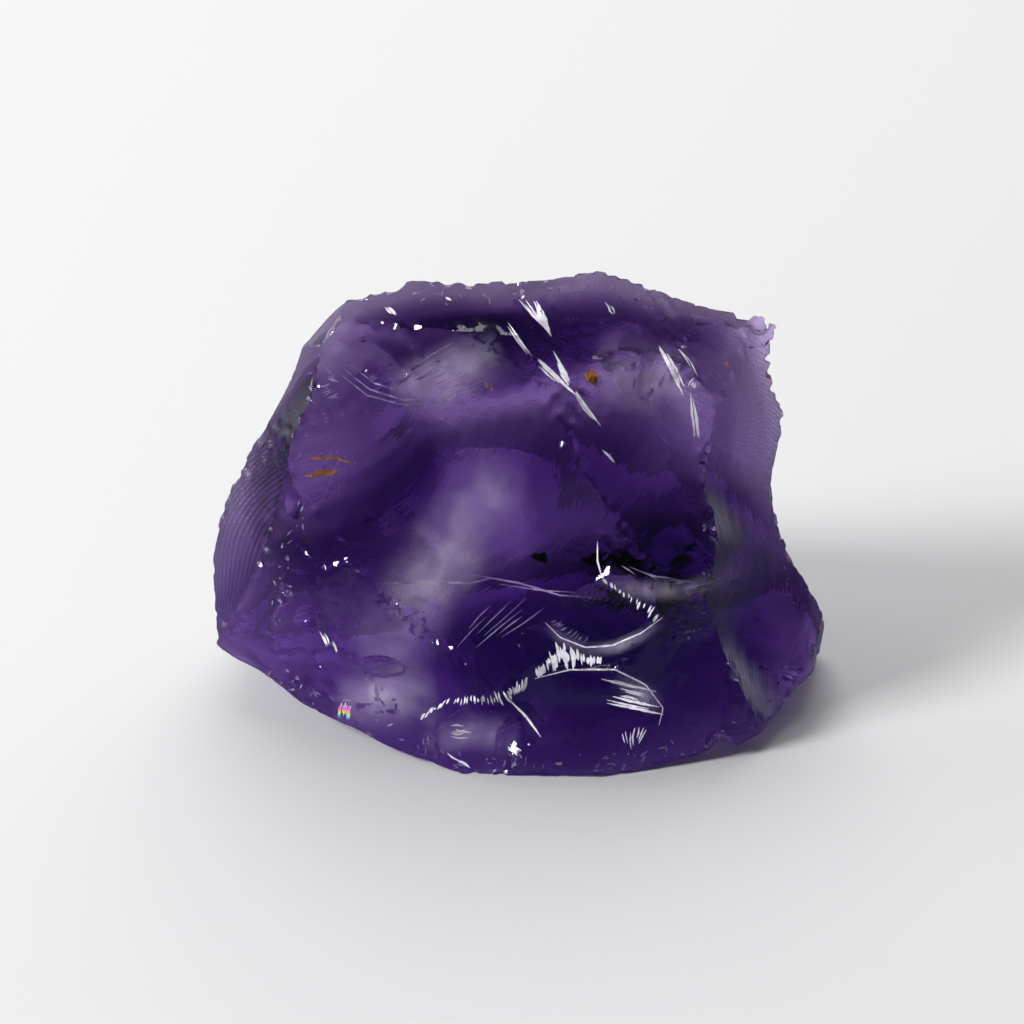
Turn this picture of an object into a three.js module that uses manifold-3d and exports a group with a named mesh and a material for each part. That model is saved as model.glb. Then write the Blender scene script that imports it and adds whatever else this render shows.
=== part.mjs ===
// Rough amethyst: one broken chunk of purple quartz that stands on a flat fracture under it.
// Millimetres, +Z up, the broad seen face towards -Y. The origin is under the middle of the stone's
// box, on the surface that the stone rests on.
import * as THREE from 'three';
import { ConvexGeometry } from 'three/addons/geometries/ConvexGeometry.js';
import { mergeVertices } from 'three/addons/utils/BufferGeometryUtils.js';
import Module from 'manifold-3d';

// Driving dimensions
const WIDTH = 33; // left tip to right tip
const DEPTH = 22; // front edge of the base to the back
const HEIGHT = 25.5; // base to the peak
const DISH_ROUND = 4; // a scar's ball is this many scar depths deep, which sets how steep its rim is
const BEND = 0.35; // slow waves that bend the whole chunk, so that no rim is a true ellipse
const BEND_WAVE = 9; // length of a slow wave
const BEND_FADE = 4; // height over which the bend grows from nothing at the flat base
const FACET = 1.9; // aimed edge length of the triangles on a scar

// Corners of the chunk before the shells broke off it, as shares of the half width, half depth and height
const CORNERS = {
  topLeft: [-0.5, -0.18, 0.95],
  topMiddle: [-0.18, -0.155, 0.977],
  peak: [0.263, -0.136, 1],
  topShoulder: [0.433, -0.136, 0.975],
  topSlope: [0.66, -0.09, 0.906],
  rightHorn: [0.97, 0.04, 0.8],
  leftUpper: [-0.69, -0.15, 0.825],
  leftMiddle: [-0.86, -0.055, 0.555],
  leftLower: [-0.975, -0.064, 0.268],
  leftTip: [-1, -0.11, 0.183],
  leftUnder: [-0.975, -0.2, 0.121],
  ridgeTop: [-0.6, -0.364, 0.873],
  ridgeUpper: [-0.67, -0.455, 0.678],
  ridgeLower: [-0.727, -0.473, 0.442],
  ridgeFoot: [-0.807, -0.409, 0.161],
  lipFarLeft: [-0.807, -0.436, 0.096],
  lipLeft: [-0.695, -0.555, 0.065],
  lipMidLeft: [-0.566, -0.673, 0.039],
  lipNearLeft: [-0.308, -0.81, 0.0125],
  lipFrontLeft: [-0.163, -0.973, 0],
  lipFront: [0.272, -1, 0],
  lipNearRight: [0.4, -0.91, 0.004],
  lipMidRight: [0.595, -0.85, 0.016],
  lipRight: [0.708, -0.81, 0.032],
  lipFarRight: [0.885, -0.645, 0.064],
  rightFoot: [0.965, -0.518, 0.087],
  rightTip: [1, 0.136, 0.037],
  rightSide: [0.975, -0.2, 0.09],
  browLeft: [0.047, -0.273, 0.958],
  browMiddle: [0.192, -0.5, 0.786],
  browRight: [0.45, -0.273, 0.874],
  cheekRight: [0.562, -0.455, 0.726],
  cheekLow: [0.708, -0.591, 0.459],
  belly: [0.272, -0.89, 0.305],
  bellyLeft: [-0.276, -0.82, 0.263],
  baseLeft: [-0.62, 0.1, 0],
  baseRight: [0.76, -0.2, 0],
  backLeft: [-0.76, 0.7, 0],
  backMiddle: [-0.24, 1, 0],
  backCentre: [0.42, 0.96, 0],
  backRight: [0.8, 0.6, 0],
  rumpLeft: [-0.82, 0.5, 0.28],
  rumpMiddle: [-0.24, 0.77, 0.47],
  rumpCentre: [0.4, 0.77, 0.51],
  rumpRight: [0.83, 0.42, 0.4],
};

// Shells that broke off, each a shallow dish: where it is, as shares like the corners, the way it faces,
// its length, width and depth in millimetres, and its length's slant from level in degrees
const SCARS = {
  leftFlank: { at: [-0.82, -0.24, 0.57], facing: [-0.85, -0.49, 0.16], size: [20, 10, 0.5], slant: 70 },
  leftFoot: { at: [-0.89, -0.32, 0.22], facing: [-0.66, -0.72, 0.22], size: [6, 4, 0.35], slant: 60 },
  rightFlank: { at: [0.79, -0.38, 0.47], facing: [0.8, -0.56, 0.2], size: [22, 12, 1.7], slant: 82 },
  rightBack: { at: [0.96, 0.08, 0.37], facing: [0.97, 0.14, 0.18], size: [16, 10, 1.9], slant: 90 },
  rightFoot: { at: [0.68, -0.71, 0.25], facing: [0.4, -0.88, 0.26], size: [9, 6.5, 0.55], slant: 30 },
  broadFace: { at: [-0.24, -0.58, 0.61], facing: [-0.13, -0.95, 0.28], size: [25, 18, 1.3], slant: -42 },
  lowFace: { at: [-0.4, -0.78, 0.25], facing: [-0.32, -0.93, 0.17], size: [18, 10.5, 0.9], slant: -8 },
  cheek: { at: [0.53, -0.52, 0.62], facing: [0.24, -0.91, 0.33], size: [16, 9, 1.2], slant: -58 },
  brow: { at: [0.36, -0.27, 0.92], facing: [0.15, -0.82, 0.55], size: [14, 6.5, 0.7], slant: -12 },
  browLeft: { at: [-0.2, -0.24, 0.95], facing: [-0.08, -0.68, 0.73], size: [15, 4.5, 0.5], slant: 2 },
  templeShell: { at: [-0.44, -0.4, 0.85], facing: [-0.1, -0.93, 0.36], size: [8.4, 5.2, 1.4], slant: -22 },
  lens: { at: [0.29, -0.84, 0.34], facing: [0.1, -0.9, 0.42], size: [7.6, 4.6, 1.1], slant: -4 },
  leaf: { at: [0.24, -0.94, 0.17], facing: [-0.02, -0.98, 0.18], size: [9.2, 5, 1.1], slant: -10 },
  ledge: { at: [0.09, -0.9, 0.255], facing: [0.05, -0.42, 0.91], size: [7, 2.2, 0.45], slant: 4 },
  lipShell: { at: [-0.12, -0.94, 0.08], facing: [-0.12, -0.95, 0.3], size: [7.4, 4.6, 0.8], slant: 6 },
  cornerShell: { at: [-0.68, -0.55, 0.21], facing: [-0.5, -0.84, 0.2], size: [4.6, 3.8, 0.45], slant: 0 },
  cornerChip: { at: [-0.7, -0.54, 0.13], facing: [-0.5, -0.84, 0.2], size: [3, 2.2, 0.3], slant: 20 },
  cornerScale: { at: [-0.55, -0.66, 0.14], facing: [-0.43, -0.88, 0.2], size: [3.6, 2.8, 0.35], slant: -30 },
  backLeft: { at: [-0.6, 0.55, 0.34], facing: [-0.6, 0.75, 0.3], size: [20, 15, 1.6], slant: 60 },
  backMiddle: { at: [0.08, 0.6, 0.58], facing: [0.02, 0.86, 0.5], size: [20, 17, 1.5], slant: 20 },
  backRight: { at: [0.66, 0.5, 0.4], facing: [0.6, 0.72, 0.34], size: [19, 14, 1.5], slant: 100 },
  backFoot: { at: [0.1, 0.94, 0.16], facing: [0.06, 0.98, 0.2], size: [20, 10, 1.2], slant: 4 },
  backTop: { at: [0, 0.42, 0.69], facing: [-0.03, 0.78, 0.62], size: [16, 8, 0.8], slant: 4 },
  underLeft: { at: [-0.66, -0.14, 0.02], facing: [-0.3, -0.15, -0.94], size: [7, 5, 0.4], slant: 40 },
  underRight: { at: [0.74, -0.2, 0.01], facing: [0.25, -0.15, -0.95], size: [6, 4, 0.3], slant: -40 },
  underBack: { at: [0.35, 0.5, 0], facing: [0.05, 0.05, -1], size: [9, 7, 0.5], slant: 0 },
};

const wasm = await Module();
wasm.setup();

// A point given by shares of the stone's half width, half depth and height
function place([across, back, up]) {
  return new THREE.Vector3((across * WIDTH) / 2, (back * DEPTH) / 2, up * HEIGHT);
}

// A closed three.js geometry as a solid that can be cut
function solidOf(geometry) {
  const bare = geometry.clone().deleteAttribute('normal').deleteAttribute('uv');
  const merged = mergeVertices(bare, 1e-4);
  return new wasm.Manifold(
    new wasm.Mesh({
      numProp: 3,
      vertProperties: merged.attributes.position.array,
      triVerts: new Uint32Array(merged.index.array),
    }),
  );
}

// The solid's surface as a three.js geometry
function geometryOf(solid) {
  const mesh = solid.getMesh();
  const geometry = new THREE.BufferGeometry();
  geometry.setAttribute('position', new THREE.BufferAttribute(mesh.vertProperties, mesh.numProp));
  geometry.setIndex(new THREE.BufferAttribute(mesh.triVerts, 1));
  const faceted = geometry.toNonIndexed();
  faceted.computeVertexNormals();
  return faceted;
}

// The ball that takes a shell off: a flattened sphere whose pole lies at the bottom of the scar
function shellCutter({ at, facing, size: [length, width, depth], slant }) {
  const rimShare = Math.sqrt(1 - (1 - 1 / DISH_ROUND) ** 2);
  const along = length / 2 / rimShare;
  const across = width / 2 / rimShare;
  const deep = DISH_ROUND * depth;
  const out = new THREE.Vector3(...facing).normalize();
  const level = new THREE.Vector3(0, 0, 1).cross(out).normalize();
  const grain = level.applyAxisAngle(out, THREE.MathUtils.degToRad(slant));
  const side = grain.clone().cross(out);
  const rings = THREE.MathUtils.clamp(Math.round((Math.PI * along) / FACET), 12, 30);
  const ball = new THREE.SphereGeometry(1, 2 * rings, rings);
  const centre = place(at).addScaledVector(out, deep - depth);
  ball.applyMatrix4(
    new THREE.Matrix4()
      .makeBasis(grain.multiplyScalar(along), out.multiplyScalar(deep), side.multiplyScalar(across))
      .setPosition(centre),
  );
  return solidOf(ball);
}

// The surface moved by the slow waves, which leave the flat base as it is
function bend(geometry) {
  const turn = (2 * Math.PI) / BEND_WAVE;
  const corners = geometry.attributes.position;
  for (let i = 0; i < corners.count; i += 1) {
    const { x, y, z } = new THREE.Vector3().fromBufferAttribute(corners, i);
    const lift = BEND * THREE.MathUtils.clamp(z / BEND_FADE, 0, 1);
    const across = lift * Math.sin(turn * (y + 0.7 * z) + 0.3);
    const back = lift * Math.sin(turn * (z - 0.5 * x) + 1.1);
    const up = lift * Math.sin(turn * (x + 0.6 * y) + 5.4);
    corners.setXYZ(i, x + across, y + back, z + up);
  }
  geometry.computeVertexNormals();
  return geometry;
}

// The chunk with every shell taken off it
function brokenChunk() {
  const block = solidOf(new ConvexGeometry(Object.values(CORNERS).map(place)));
  return Object.values(SCARS).map(shellCutter).reduce((left, shell) => left.subtract(shell), block);
}

const amethyst = new THREE.MeshStandardMaterial({
  name: 'amethyst',
  color: 0x4a2a7a,
  roughness: 0.06,
  metalness: 0,
});
const stone = new THREE.Mesh(bend(geometryOf(brokenChunk())), amethyst);
stone.name = 'amethyst';

const part = new THREE.Group();
part.name = 'rough_amethyst';
part.add(stone);

export default part;
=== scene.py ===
import math

import bmesh
import bpy
import numpy as np
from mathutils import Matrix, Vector
from mathutils.bvhtree import BVHTree


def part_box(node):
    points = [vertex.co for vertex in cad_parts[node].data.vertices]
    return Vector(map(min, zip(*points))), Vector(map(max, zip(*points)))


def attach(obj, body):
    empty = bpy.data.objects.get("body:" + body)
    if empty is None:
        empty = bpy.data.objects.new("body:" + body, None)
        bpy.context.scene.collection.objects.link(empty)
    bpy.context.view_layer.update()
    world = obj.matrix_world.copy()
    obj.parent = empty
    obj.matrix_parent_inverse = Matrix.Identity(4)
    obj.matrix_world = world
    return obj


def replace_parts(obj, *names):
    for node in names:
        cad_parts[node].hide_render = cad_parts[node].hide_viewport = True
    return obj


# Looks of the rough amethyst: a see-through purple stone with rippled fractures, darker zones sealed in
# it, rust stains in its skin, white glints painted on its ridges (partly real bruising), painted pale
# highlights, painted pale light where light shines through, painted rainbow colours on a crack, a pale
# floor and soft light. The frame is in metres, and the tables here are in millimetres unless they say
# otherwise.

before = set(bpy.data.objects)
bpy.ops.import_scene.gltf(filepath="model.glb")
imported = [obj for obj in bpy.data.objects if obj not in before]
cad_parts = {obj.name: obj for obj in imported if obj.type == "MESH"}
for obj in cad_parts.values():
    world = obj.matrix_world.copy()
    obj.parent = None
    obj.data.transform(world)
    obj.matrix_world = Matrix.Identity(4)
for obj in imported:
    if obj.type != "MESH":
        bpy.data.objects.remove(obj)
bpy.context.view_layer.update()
STONE = "amethyst"
MM = 0.001
low_corner, high_corner = (np.array(corner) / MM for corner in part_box(STONE))
HALF_WIDTH, HALF_DEPTH, HEIGHT = 16.5, 11.0, 25.5  # of the chunk before shells broke off it
TINY = 1e-9

# Where the photograph looks from: far off, in front and above
VIEW_RISE = math.radians(30)
VIEW_DISTANCE = 550.0
VIEW_BACK = np.array([0, -math.cos(VIEW_RISE), math.sin(VIEW_RISE)])
VIEW_UP = np.array([0, math.sin(VIEW_RISE), math.cos(VIEW_RISE)])
PHOTO_PIXELS = 1024
PIXELS_PER_MM = 18.8
STONE_MIDDLE = np.array([520.0, 530.0])  # a pixel well inside the stone's outline
AIM_FOOT, AIM_RISE = np.array([-0.19, -11.0, 0.0]), 14.15
AIM = AIM_FOOT + AIM_RISE * VIEW_UP
SENSOR = 36.0

# Fineness of the stone's mesh, and how the surface is found in its grid
CELL = 0.2
MARGIN_CELLS = 4
SETTLE_ROUNDS, JUST_INSIDE = 8, -1e-3
ROOT_ROUNDS, ROOT_ENDS, ROOT_GUARD = 3, (0.02, 0.98), 1e-12
CENTRE_PULL = 0.06  # keeps a corner near the middle of its crossings where they don't settle it
FLAT_ENOUGH, MOST_SHIFT = 0.985, 0.05  # corners that aren't on a ridge are moved on to the surface
FLOOR_GAP = 0.01
SHARP_TURN = math.radians(32)
DISH_ROUND = 4  # half the thickness of the ball that cuts a dish, in depths of the dish

# Corners of the chunk before shells broke off it: shares of the half width, half depth and height
CORNERS = {
    "topLeft": (-0.5, -0.18, 0.95),
    "topMiddle": (-0.18, -0.155, 0.977),
    "peak": (0.263, -0.136, 1),
    "topShoulder": (0.433, -0.136, 0.975),
    "topSlope": (0.66, -0.09, 0.906),
    "rightHorn": (0.97, 0.04, 0.8),
    "leftUpper": (-0.69, -0.15, 0.825),
    "leftMiddle": (-0.86, -0.055, 0.555),
    "leftLower": (-0.975, -0.064, 0.268),
    "leftTip": (-1, -0.11, 0.183),
    "leftUnder": (-0.975, -0.2, 0.121),
    "ridgeTop": (-0.6, -0.364, 0.873),
    "ridgeUpper": (-0.67, -0.455, 0.678),
    "ridgeLower": (-0.727, -0.473, 0.442),
    "ridgeFoot": (-0.807, -0.409, 0.161),
    "lipFarLeft": (-0.807, -0.436, 0.096),
    "lipLeft": (-0.695, -0.555, 0.065),
    "lipMidLeft": (-0.566, -0.673, 0.039),
    "lipNearLeft": (-0.308, -0.81, 0.0125),
    "lipFrontLeft": (-0.163, -0.973, 0),
    "lipFront": (0.272, -1, 0),
    "lipNearRight": (0.4, -0.91, 0.004),
    "lipMidRight": (0.595, -0.85, 0.016),
    "lipRight": (0.708, -0.81, 0.032),
    "lipFarRight": (0.885, -0.645, 0.064),
    "rightFoot": (0.965, -0.518, 0.087),
    "rightTip": (1, 0.136, 0.037),
    "rightSide": (0.975, -0.2, 0.09),
    "browLeft": (0.047, -0.273, 0.958),
    "browMiddle": (0.192, -0.5, 0.786),
    "browRight": (0.45, -0.273, 0.874),
    "cheekRight": (0.562, -0.455, 0.726),
    "cheekLow": (0.708, -0.591, 0.459),
    "belly": (0.272, -0.89, 0.305),
    "bellyLeft": (-0.276, -0.82, 0.263),
    "baseLeft": (-0.62, 0.1, 0),
    "baseRight": (0.76, -0.2, 0),
    "backLeft": (-0.76, 0.7, 0),
    "backMiddle": (-0.24, 1, 0),
    "backCentre": (0.42, 0.96, 0),
    "backRight": (0.8, 0.6, 0),
    "rumpLeft": (-0.82, 0.5, 0.28),
    "rumpMiddle": (-0.24, 0.77, 0.47),
    "rumpCentre": (0.4, 0.77, 0.51),
    "rumpRight": (0.83, 0.42, 0.4),
}

# Shells that broke off: place, the way it faces, (length, width, depth) in mm, slant in degrees, where
# it was struck as shares of its length and width, and how strong its fine ripples are
SCARS = {
    "leftFlank": ((-0.82, -0.24, 0.57), (-0.85, -0.49, 0.16), (20, 10, 0.5), 70, (-0.3, 1.7), 2.4),
    "leftFoot": ((-0.89, -0.32, 0.22), (-0.66, -0.72, 0.22), (6, 4, 0.35), 60, (-0.6, 0.2), 0.2),
    "rightFlank": ((0.79, -0.38, 0.47), (0.8, -0.56, 0.2), (22, 12, 1.7), 82, (0.1, -1.2), 0.7),
    "rightBack": ((0.96, 0.08, 0.37), (0.97, 0.14, 0.18), (16, 10, 1.9), 90, (-0.6, 0), 0.5),
    "rightFoot": ((0.68, -0.71, 0.25), (0.4, -0.88, 0.26), (9, 6.5, 0.55), 30, (0.2, -0.9), 0.8),
    "broadFace": ((-0.24, -0.58, 0.61), (-0.13, -0.95, 0.28), (25, 18, 1.3), -42, (-0.55, 0.1), 0.3),
    "lowFace": ((-0.4, -0.78, 0.25), (-0.32, -0.93, 0.17), (18, 10.5, 0.9), -8, (-0.6, 0.2), 0.3),
    "cheek": ((0.53, -0.52, 0.62), (0.24, -0.91, 0.33), (16, 9, 1.2), -58, (-0.6, 0.3), 0.5),
    "brow": ((0.36, -0.27, 0.92), (0.15, -0.82, 0.55), (14, 6.5, 0.7), -12, (-0.6, 0), 0.4),
    "browLeft": ((-0.2, -0.24, 0.95), (-0.08, -0.68, 0.73), (15, 4.5, 0.5), 2, (0.6, 0), 0.4),
    "templeShell": ((-0.44, -0.4, 0.85), (-0.1, -0.93, 0.36), (8.4, 5.2, 1.4), -22, (-0.6, 0.1), 0.5),
    "lens": ((0.29, -0.84, 0.34), (0.1, -0.9, 0.42), (7.6, 4.6, 1.1), -4, (-0.2, -0.7), 1.0),
    "leaf": ((0.24, -0.94, 0.17), (-0.02, -0.98, 0.18), (9.2, 5.0, 1.1), -10, (-0.6, 0.1), 1.0),
    "ledge": ((0.09, -0.9, 0.255), (0.05, -0.42, 0.91), (7, 2.2, 0.45), 4, (-0.6, 0), 0.6),
    "lipShell": ((-0.12, -0.94, 0.08), (-0.12, -0.95, 0.3), (7.4, 4.6, 0.8), 6, (-0.6, 0.2), 0.9),
    "cornerShell": ((-0.68, -0.55, 0.21), (-0.5, -0.84, 0.2), (4.6, 3.8, 0.45), 0, (-0.6, 0.2), 0.4),
    "cornerChip": ((-0.7, -0.54, 0.13), (-0.5, -0.84, 0.2), (3, 2.2, 0.3), 20, (-0.6, 0.2), 0.4),
    "cornerScale": ((-0.55, -0.66, 0.14), (-0.43, -0.88, 0.2), (3.6, 2.8, 0.35), -30, (-0.6, 0.2), 0.4),
    "backLeft": ((-0.6, 0.55, 0.34), (-0.6, 0.75, 0.3), (20, 15, 1.6), 60, (-0.6, 0.2), 1.6),
    "backMiddle": ((0.08, 0.6, 0.58), (0.02, 0.86, 0.5), (20, 17, 1.5), 20, (-0.6, 0.2), 1.6),
    "backRight": ((0.66, 0.5, 0.4), (0.6, 0.72, 0.34), (19, 14, 1.5), 100, (-0.6, 0.2), 1.6),
    "backFoot": ((0.1, 0.94, 0.16), (0.06, 0.98, 0.2), (20, 10, 1.2), 4, (-0.6, 0.2), 1.6),
    "backTop": ((0, 0.42, 0.69), (-0.03, 0.78, 0.62), (16, 8, 0.8), 4, (-0.6, 0.2), 1.6),
    "underLeft": ((-0.66, -0.14, 0.02), (-0.3, -0.15, -0.94), (7, 5, 0.4), 40, (-0.6, 0.2), 0.3),
    "underRight": ((0.74, -0.2, 0.01), (0.25, -0.15, -0.95), (6, 4, 0.3), -40, (-0.6, 0.2), 0.3),
    "underBack": ((0.35, 0.5, 0), (0.05, 0.05, -1), (9, 7, 0.5), 0, (-0.6, 0.2), 0.3),
}

BEND, BEND_WAVE, BEND_FADE = 0.35, 9.0, 4.0  # slow waves that keep rims from being true ellipses
BEND_SLANTS, BEND_TURNS = (0.7, -0.5, 0.6), (0.3, 1.1, 5.4)
RIPPLE, RIPPLE_WAVE = 0.014, 1.1  # rings that spread from where a shell was struck
RING_WANDER, RING_LOBES = (0.5, 0.3), (3, 7)
RING_FADE, RING_LEAST = 1.3, 0.25
RELIEF_NEAR = 2.0
HACKLE, HACKLE_SPOKES = 0.03, 38  # spokes that open towards a shell's far rim
HACKLE_SWAY, HACKLE_SWAYS, HACKLE_START = 3, 5, 0.35
SWELL, SWELL_WAVE, SCAR_SWELL = 0.11, 6.5, 0.6  # slow swells, weaker in the shells
EDGE_BITE, EDGE_REACH, EDGE_WAVE = 0.07, 0.22, 0.9  # wear along the ridges
EDGE_SHARE, EDGE_MOST = 0.3, 2
CHIPS, CHIP_LEAST, CHIP_MOST, CHIP_BITE = 150, 0.4, 2.0, 0.16
CHIP_SKEW, CHIP_TILT = 2.2, 0.35  # most chips are small, and they lean at random
CHIP_LONG, CHIP_WIDE = (0.9, 2.2), (0.5, 0.9)
RIDGE_TURN = math.radians(24)
FINE_WAVE, FINE_DEPTH = 0.3, 0.0035  # hair-fine ripples between the rings
FINE_WANDER, FINE_LOBES = (0.35, 0.2), (4, 9)
BASE_LIFT, BASE_WAVE, BASE_WAVER = 0.1, 5.0, 0.7  # the base rests on its high spots
CRUST_TURN = 0.35  # how far a face turns back or down before its skin is fully weathered
DEEP = -9.0  # a field value far inside the stone
NOISE_SPREAD = (0.7, 1.4)
SEEDS = {
    "swell": 3, "edge": 5, "chips": 7, "base": 11, "zones": 20,
    "glints_and_bruising": 31, "stains": 32, "highlights_and_chips": 33, "through_light_sheets": 34, "crack": 35,
}
ZONE_UP = np.array([0, 0.3, 0.95])  # square to the way in through the broad face
ZONE_INSET, ZONE_WAVER, ZONE_WAVE, ZONE_CELL = 0.5, 0.7, 5.0, 0.5
ZONES = {  # middle across and up, half sizes, and how strongly each is coloured
    "left": (-8.9, 12.2, 4.9, 5.6, 120),
    "right": (5.5, 10.6, 4.6, 4.3, 70),
    "foot": (6.5, 2.5, 8.5, 3.6, 130),
    "top": (-1.0, 22.0, 13.5, 3.6, 420),
}
NEAR = 1.0  # the detailed shape is worked out this close to the plain one


def place(share):
    return np.array(share) * (HALF_WIDTH, HALF_DEPTH, HEIGHT)


def unit(vector):
    vector = np.array(vector, float)
    return vector / np.linalg.norm(vector)


def soft_noise(points, wave, seed, waves=9):
    """Smooth noise of about unit size that repeats roughly every wave."""
    draw = np.random.default_rng(seed)
    ways = draw.normal(size=(waves, 3))
    ways *= (draw.uniform(*NOISE_SPREAD, waves) / np.linalg.norm(ways, axis=1))[:, None]
    turns = draw.uniform(0, math.tau, waves)
    total = np.zeros(len(points))
    for way, turn in zip(ways, turns):
        total += np.sin(points @ (way * math.tau / wave) + turn)
    return total * math.sqrt(2 / waves)


def bend(points):
    """The slow waves that the whole chunk is bent by. They leave the base flat."""
    x, y, z = points.T
    k = math.tau / BEND_WAVE
    lift = np.clip(z / BEND_FADE, 0, 1)
    return BEND * np.stack(
        [
            np.sin(k * (y + BEND_SLANTS[0] * z) + BEND_TURNS[0]) * lift,
            np.sin(k * (z + BEND_SLANTS[1] * x) + BEND_TURNS[1]) * lift,
            np.sin(k * (x + BEND_SLANTS[2] * y) + BEND_TURNS[2]) * lift,
        ],
        axis=1,
    )


class Scar:
    """One shell-shaped fracture: the side of a flattened ball, rippled from where it was struck."""

    def __init__(self, number, at, facing, size, slant, strike, fine):
        length, width, depth = size
        rim = math.sqrt(1 - (1 - 1 / DISH_ROUND) ** 2)
        out = unit(facing)
        level = unit(np.cross((0, 0, 1), out))
        turn = math.radians(slant)
        grain = level * math.cos(turn) + np.cross(out, level) * math.sin(turn)
        self.axes = np.stack([grain, np.cross(grain, out), out], axis=1)
        self.radii = np.array([length / 2 / rim, width / 2 / rim, DISH_ROUND * depth])
        self.centre = place(at) + out * (DISH_ROUND - 1) * depth
        self.length, self.number = length, number
        self.strike = np.array(strike) * (length, width)
        self.fine = fine
        self.phase = np.random.default_rng(number).uniform(0, math.tau)

    def plain(self, points):
        local = (points - self.centre) @ self.axes
        scaled = local / self.radii
        share = np.linalg.norm(scaled, axis=1)
        steep = np.linalg.norm(scaled / self.radii, axis=1)
        return share * (1 - share) / np.maximum(steep, TINY), local

    def polar(self, local):
        """Distance and bearing from where the shell was struck."""
        x = local[:, 0] - self.strike[0]
        y = local[:, 1] - self.strike[1]
        return np.hypot(x, y), np.arctan2(y, x)

    def wander(self, bearing, amounts, lobes):
        """How far a ring strays from a true circle."""
        broad = amounts[0] * np.sin(lobes[0] * bearing + self.phase)
        return broad + amounts[1] * np.sin(lobes[1] * bearing)

    def relief(self, local):
        far, bearing = self.polar(local)
        wander = self.wander(bearing, RING_WANDER, RING_LOBES)
        fade = np.clip(RING_FADE - far / self.length, RING_LEAST, 1)
        rings = np.sin(math.tau * (far + wander) / RIPPLE_WAVE + self.phase) * fade
        sway = HACKLE_SWAY * np.sin(HACKLE_SWAYS * bearing + self.phase)
        spoke = np.sin(HACKLE_SPOKES * bearing + sway)
        spokes = np.abs(spoke) * np.clip(far / self.length - HACKLE_START, 0, 1) ** 2
        return RIPPLE * rings + HACKLE * spokes


def hull_planes():
    """The chunk's flat sides before the shells came off, as (normals, distances)."""
    corners = bmesh.new()
    for share in CORNERS.values():
        corners.verts.new(place(share))
    bmesh.ops.convex_hull(corners, input=corners.verts)
    corners.normal_update()
    normals = np.array([face.normal for face in corners.faces])
    distances = np.array([face.normal.dot(face.verts[0].co) for face in corners.faces])
    corners.free()
    return normals, distances


def ridge_chips(solid):
    """Small bites along the solid's ridges: their centres, radii and stretched frames."""
    draw = np.random.default_rng(SEEDS["chips"])
    mesh = bmesh.new()
    mesh.from_mesh(solid.data)
    bmesh.ops.remove_doubles(mesh, verts=mesh.verts, dist=1e-6)
    ridges = []
    for edge in mesh.edges:
        if len(edge.link_faces) == 2 and edge.calc_face_angle_signed(0) > RIDGE_TURN:
            ridges.append(edge)
    lengths = np.array([edge.calc_length() for edge in ridges])
    picks = draw.choice(len(ridges), CHIPS, p=lengths / lengths.sum())
    radii = CHIP_LEAST * (CHIP_MOST / CHIP_LEAST) ** (draw.random(CHIPS) ** CHIP_SKEW)
    centres, frames = [], []
    for pick, radius in zip(picks, radii):
        edge = ridges[pick]
        share = draw.random()
        spot = np.array(edge.verts[0].co.lerp(edge.verts[1].co, share)) / MM
        out = np.array(edge.link_faces[0].normal + edge.link_faces[1].normal)
        out = unit(unit(out) + draw.normal(scale=CHIP_TILT, size=3))
        grain = unit(np.cross(out, draw.normal(size=3)))
        centres.append(spot + out * radius * (1 - CHIP_BITE * draw.uniform(0.5, 1)))
        stretch = np.array([draw.uniform(*CHIP_LONG), draw.uniform(*CHIP_WIDE), 1]) * radius
        frames.append(np.stack([grain, np.cross(grain, out), out], axis=1) / stretch)
    mesh.free()
    return np.array(centres), radii, frames


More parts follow.
